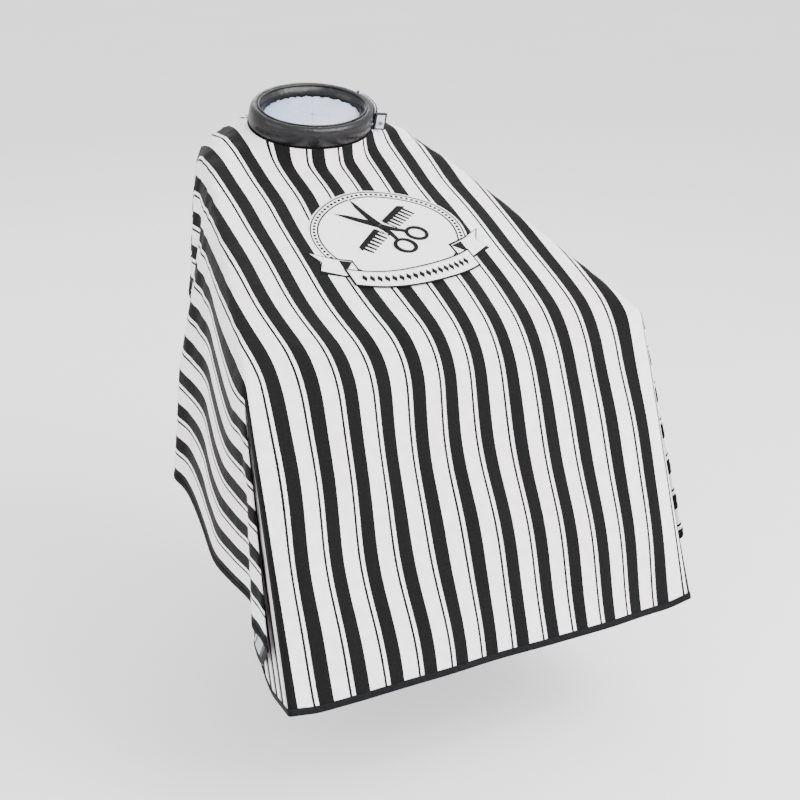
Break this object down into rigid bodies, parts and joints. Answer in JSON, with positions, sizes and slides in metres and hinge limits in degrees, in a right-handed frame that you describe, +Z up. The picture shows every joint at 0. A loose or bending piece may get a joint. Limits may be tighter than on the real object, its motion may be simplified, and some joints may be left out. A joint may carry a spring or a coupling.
{
  "type": "barber cape",
  "caption": "Striped hairdressing cape draped as over a seated client, with a padded oval neckband, closure lap, pull tab and bound hems.",
  "frame": {"origin": "centre of the neck opening, in the plane where the neckband is sewn to the cloth", "axes": "+Z up, -Y the front of the cape, +X the wearer's left"},
  "size_m": [0.7478, 0.84, 0.8053],
  "materials": {
    "striped_cloth": "woven cloth with black and white stripes",
    "black_binding": "matte black woven binding tape",
    "emblem_print": "thin matte transfer print",
    "glossy_black_vinyl": "smooth glossy black vinyl",
    "pale_blue_lining": "soft brushed fleece",
    "foam_padding": "closed-cell foam",
    "snap_metal": "dark nickel-plated snap"
  },
  "bodies": {
    "cape": {"back_hem_binding_left": "black_binding", "back_hem_binding_right": "black_binding", "back_opening_binding_left": "black_binding", "back_opening_binding_right": "black_binding", "band_snap_stud_front": "snap_metal", "band_snap_stud_rear": "snap_metal", "band_tab_stud": "snap_metal", "emblem_oval_print": "emblem_print", "emblem_ribbon_print": "emblem_print", "front_hem_binding": "black_binding", "lap_fold_roll": "glossy_black_vinyl", "left_side_hem_binding": "black_binding", "neck_seam_tape": "black_binding", "neckband_cover": "glossy_black_vinyl", "neckband_lining": "pale_blue_lining", "neckband_padding": "foam_padding", "neckband_top_piping": "glossy_black_vinyl", "right_side_hem_binding": "black_binding", "striped_panel": "striped_cloth"},
    "closure_lap": {"lap_cover": "glossy_black_vinyl", "lap_lining": "pale_blue_lining", "lap_padding": "foam_padding", "lap_snap_cap_front": "snap_metal", "lap_snap_cap_rear": "snap_metal", "lap_snap_socket_front": "snap_metal", "lap_snap_socket_rear": "snap_metal"},
    "pull_tab": {"tab_binding": "glossy_black_vinyl", "tab_cover": "glossy_black_vinyl", "tab_fold_roll": "glossy_black_vinyl", "tab_lining": "pale_blue_lining", "tab_snap_cap": "snap_metal", "tab_snap_ring": "snap_metal", "tab_snap_socket": "snap_metal"}
  },
  "joints": [
    {"name": "lap_open", "type": "hinge", "parent": "cape", "child": "closure_lap", "pos_m": [0.1038, 0.02196, 0.04341], "axis": [0, -0.3494, 0.937], "range_deg": [0, 70]},
    {"name": "tab_fold", "type": "hinge", "parent": "closure_lap", "child": "pull_tab", "pos_m": [0.10329, -0.0458, 0.01814], "axis": [0, -0.3494, 0.937], "range_deg": [-84, 25]}
  ]
}
